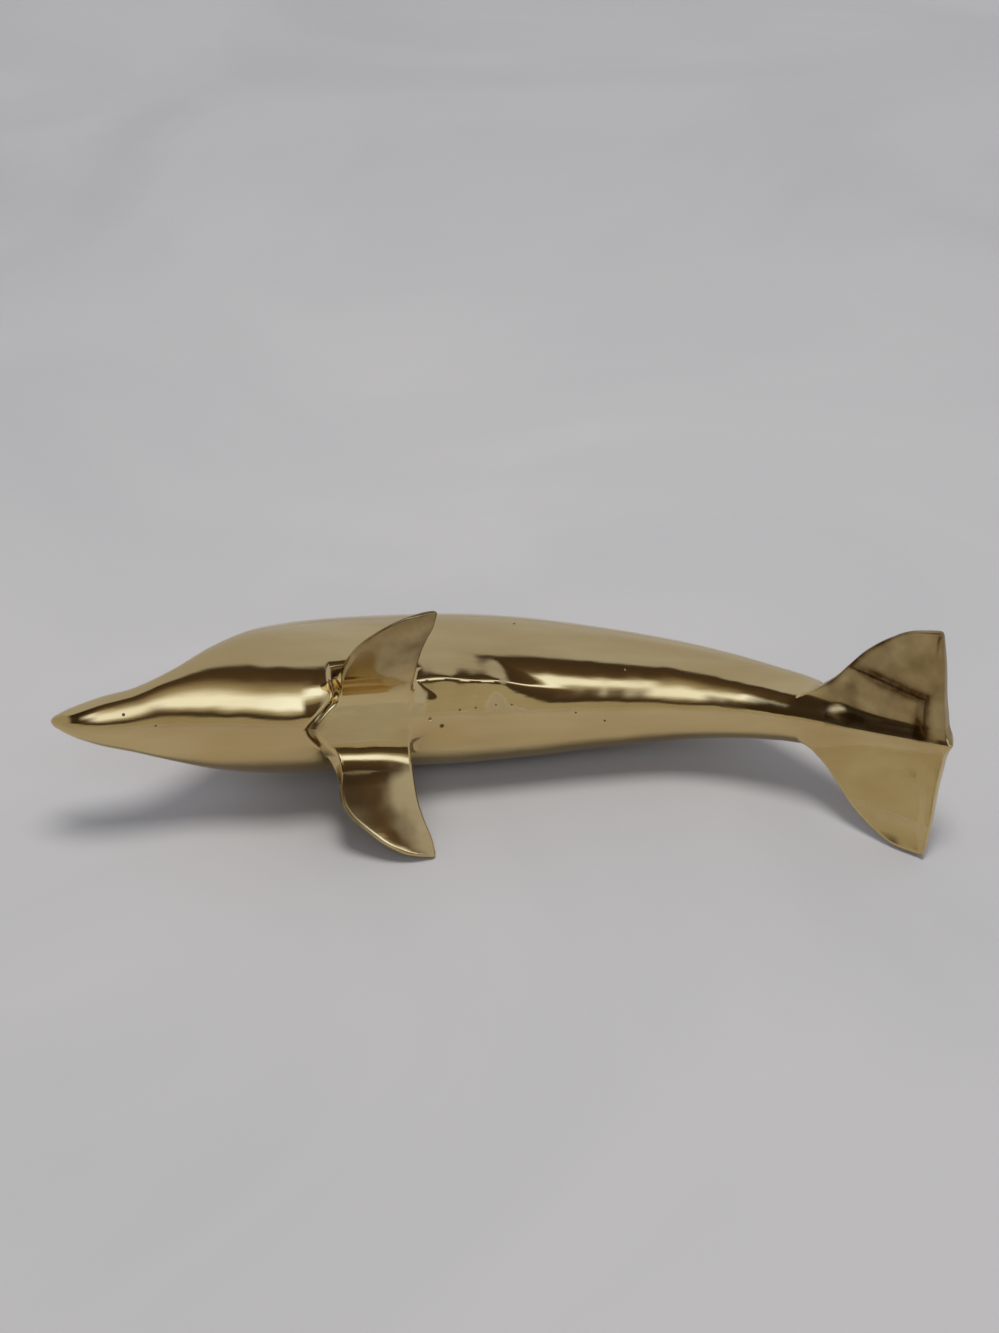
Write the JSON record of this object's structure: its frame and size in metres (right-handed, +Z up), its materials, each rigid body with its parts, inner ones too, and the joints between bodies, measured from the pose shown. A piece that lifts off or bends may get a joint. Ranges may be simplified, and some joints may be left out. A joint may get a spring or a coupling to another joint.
{
  "type": "dolphin figurine",
  "caption": "Polished brass dolphin with a slim beak, folded-down flippers and spread tail flukes, lying on its side as a tabletop ornament or paperweight.",
  "frame": {"origin": "under the middle of the bounding box, on the plane that the figurine lies on", "axes": "+X from the snout towards the flukes, +Z up, -Y the way the belly faces"},
  "size_m": [0.3004, 0.116, 0.0852],
  "materials": {
    "polished_brass": "hand polished, clear reflections with faint waves and a few casting pits"
  },
  "bodies": {
    "root": {"body_left": "polished_brass", "body_right": "polished_brass", "flipper_yoke": "polished_brass", "tail_flukes": "polished_brass", "dorsal_fin": "polished_brass"}
  },
  "joints": []
}
